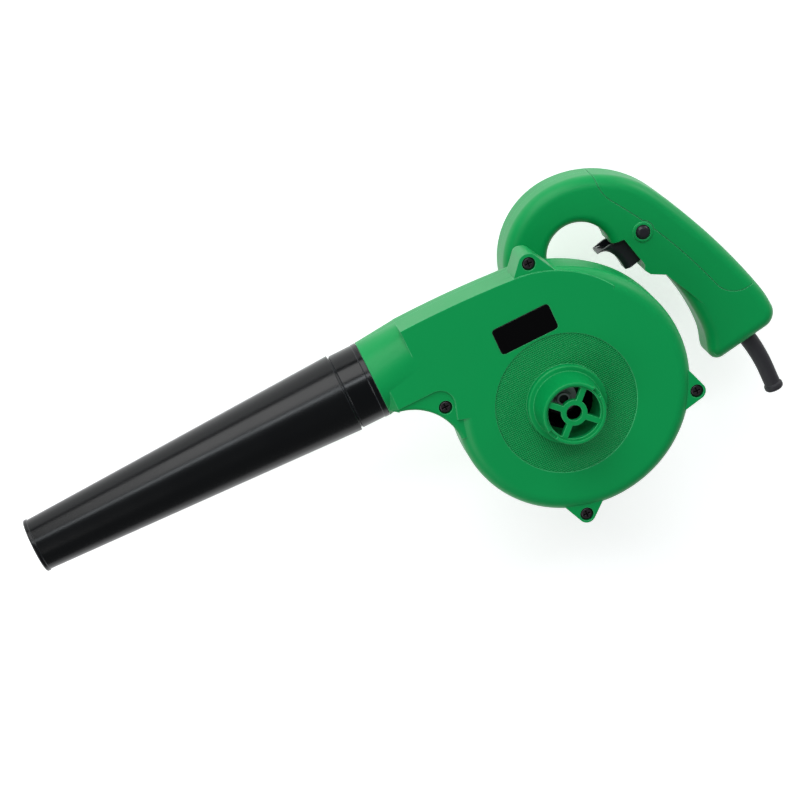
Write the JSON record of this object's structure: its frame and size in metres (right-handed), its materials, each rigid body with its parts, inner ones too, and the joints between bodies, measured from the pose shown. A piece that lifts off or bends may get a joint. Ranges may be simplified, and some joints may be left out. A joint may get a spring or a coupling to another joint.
{
  "type": "leaf blower",
  "caption": "Hand-held electric leaf blower with a round scroll casing, side air inlet, hooked handle with trigger, and a long tapered nozzle.",
  "frame": {"origin": "where the fan axis meets the surface that the blower stands on, at the middle of the motor end cap's outer face", "axes": "+Z along the fan axis, up and out of the air inlet; the nozzle points along -X; the handle hooks over the +Y side"},
  "size_m": [0.4919, 0.1963, 0.1781],
  "materials": {
    "casing_plastic": "satin, fine moulded texture",
    "black_plastic": "semi-gloss",
    "trigger_plastic": "satin",
    "fan_plastic": "matte",
    "plate_gloss": "gloss",
    "guard_rubber": "matte",
    "screw_steel": "black oxide",
    "bright_steel": "ground",
    "lamination": "stacked plates",
    "copper": "enamelled wire",
    "brass": "plain",
    "carbon": "matte"
  },
  "bodies": {
    "housing": {"front_cover": "casing_plastic", "inlet_guard": "casing_plastic", "cover_screws": "screw_steel", "name_plate": "plate_gloss", "rear_housing": "casing_plastic", "motor_end_cap": "casing_plastic", "end_cap_screws": "screw_steel", "handle_front_shell": "casing_plastic", "handle_rear_shell": "casing_plastic", "grip_strap": "casing_plastic", "handle_screws": "screw_steel", "switch_body": "fan_plastic", "switch_terminals": "brass", "lock_spring": "bright_steel", "cord_guard": "guard_rubber", "stator_core": "lamination", "field_coils": "copper", "stator_screws": "screw_steel", "brush_holders": "brass", "carbon_brushes": "carbon", "brush_springs": "bright_steel", "brush_caps": "black_plastic", "front_bearing_outer_race": "bright_steel", "rear_bearing_outer_race": "bright_steel", "rear_bearing_sleeve": "guard_rubber", "bearing_retainer": "bright_steel", "retainer_screws": "screw_steel"},
    "rotor": {"rotor_shaft": "bright_steel", "armature_core": "lamination", "armature_windings": "copper", "commutator": "copper", "cooling_fan": "fan_plastic", "impeller": "fan_plastic", "impeller_hub": "brass", "impeller_spacer": "bright_steel", "impeller_washer": "bright_steel", "impeller_nut": "bright_steel", "front_bearing_inner_race": "bright_steel", "rear_bearing_inner_race": "bright_steel"},
    "front_cage": {"front_bearing_cage": "brass", "front_bearing_balls": "bright_steel"},
    "rear_cage": {"rear_bearing_cage": "brass", "rear_bearing_balls": "bright_steel"},
    "trigger": {"trigger": "trigger_plastic", "switch_plunger": "trigger_plastic"},
    "lock_button": {"lock_button": "trigger_plastic"},
    "nozzle": {"nozzle_collar": "black_plastic", "nozzle_tube": "black_plastic"}
  },
  "joints": [
    {"name": "rotor_spin", "type": "hinge", "parent": "housing", "child": "rotor", "pos_m": [0, 0, 0.06], "axis": [0, 0, 1], "continuous": true},
    {"name": "front_cage_spin", "type": "hinge", "parent": "housing", "child": "front_cage", "pos_m": [0, 0, 0.1005], "axis": [0, 0, 1], "continuous": true},
    {"name": "rear_cage_spin", "type": "hinge", "parent": "housing", "child": "rear_cage", "pos_m": [0, 0, 0.01], "axis": [0, 0, 1], "continuous": true},
    {"name": "trigger_pull", "type": "slide", "parent": "housing", "child": "trigger", "axis": [0.9673, 0.2538, 0], "range_m": [0, 0.005], "stiffness_N_per_m": 600, "springref_m": -0.004},
    {"name": "lock_press", "type": "slide", "parent": "housing", "child": "lock_button", "axis": [0, 0, -1], "range_m": [0, 0.0015], "stiffness_N_per_m": 1000, "springref_m": -0.001, "deforming": ["lock_spring"]},
    {"name": "nozzle_twist", "type": "hinge", "parent": "housing", "child": "nozzle", "pos_m": [-0.112, 0.0637, 0.1284], "axis": [1, 0, 0], "range_deg": [0, 30]}
  ],
  "couplings": [
    {"joint": "front_cage_spin", "follows": "rotor_spin", "ratio": 0.3647},
    {"joint": "rear_cage_spin", "follows": "rotor_spin", "ratio": 0.3662}
  ]
}
